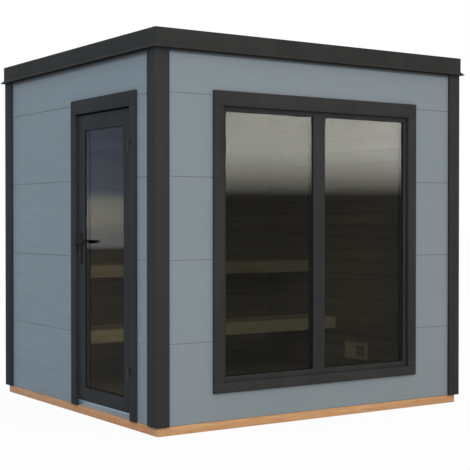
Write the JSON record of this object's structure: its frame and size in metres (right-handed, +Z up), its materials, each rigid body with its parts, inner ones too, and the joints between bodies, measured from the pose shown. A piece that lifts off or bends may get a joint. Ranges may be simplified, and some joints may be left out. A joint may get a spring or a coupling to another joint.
{
  "type": "garden sauna",
  "caption": "Flat-roofed garden sauna cabin with panelled walls, dark corner trims, a wide fixed window, a glazed door that swings outward and stepped wooden benches inside.",
  "frame": {"origin": "plan centre of the building at ground level, on the underside of the middle floor bearer", "axes": "+Z up, -Y towards the window wall, -X towards the door wall"},
  "size_m": [2.495, 2.291, 2.4],
  "materials": {
    "ground_timber": "planed, treated",
    "wall_panel": "smooth composite panel",
    "dark_trim": "anthracite, satin",
    "frame_profile": "anthracite, satin",
    "roof_sheet": "anthracite coat",
    "roof_felt": "matt membrane",
    "roof_timber": "sawn",
    "lining_wood": "planed, bare",
    "bench_wood": "planed, bare",
    "tinted_glass": "tinted, clear gloss",
    "threshold_metal": "anodised",
    "handle_metal": "dark satin",
    "hinge_metal": "dark satin"
  },
  "bodies": {
    "building": {"air_vent_frame": "lining_wood", "back_lining": "lining_wood", "back_wall_panels": "wall_panel", "base_beams_long": "ground_timber", "base_beams_short": "ground_timber", "ceiling_lining": "lining_wood", "corner_posts_back": "dark_trim", "corner_posts_front": "dark_trim", "door_casing": "dark_trim", "door_head": "frame_profile", "door_jambs": "frame_profile", "door_threshold": "threshold_metal", "door_wall_lining": "lining_wood", "door_wall_panel_top": "wall_panel", "door_wall_panels_far": "wall_panel", "door_wall_panels_near": "wall_panel", "floor_bearers": "ground_timber", "floor_deck": "lining_wood", "front_lining": "lining_wood", "front_panel_bottom": "wall_panel", "front_panel_top": "wall_panel", "front_panels_left": "wall_panel", "front_panels_right": "wall_panel", "hinge_halves_casing": "hinge_metal", "lower_bench_front": "bench_wood", "lower_bench_rails": "bench_wood", "lower_bench_slats": "bench_wood", "right_lining": "lining_wood", "right_wall_panels": "wall_panel", "roof_deck": "roof_timber", "roof_fascia": "roof_sheet", "roof_kerb": "roof_timber", "roof_membrane": "roof_felt", "upper_bench_front": "bench_wood", "upper_bench_rails": "bench_wood", "upper_bench_slats": "bench_wood", "window_casing": "dark_trim", "window_frame": "frame_profile", "window_glass": "tinted_glass", "window_mullion": "frame_profile"},
    "door": {"door_stiles": "frame_profile", "door_rails": "frame_profile", "door_glass": "tinted_glass", "handle_plates": "handle_metal", "lock_cylinder": "handle_metal", "hinge_halves_leaf": "hinge_metal"},
    "lever": {"door_levers": "handle_metal"},
    "vent_slider": {"air_vent_slider": "lining_wood"}
  },
  "joints": [
    {"name": "door_swing", "type": "hinge", "parent": "building", "child": "door", "pos_m": [-1.2275, -0.794, 1.033], "axis": [0, 0, 1], "range_deg": [0, 100]},
    {"name": "lever_turn", "type": "hinge", "parent": "door", "child": "lever", "pos_m": [-1.1785, -0.112, 1.134], "axis": [1, 0, 0], "range_deg": [0, 45], "stiffness_Nm_per_rad": 1.5, "springref_deg": -22.92},
    {"name": "vent_slide", "type": "slide", "parent": "building", "child": "vent_slider", "axis": [0, -1, 0], "range_m": [0, 0.1]}
  ]
}
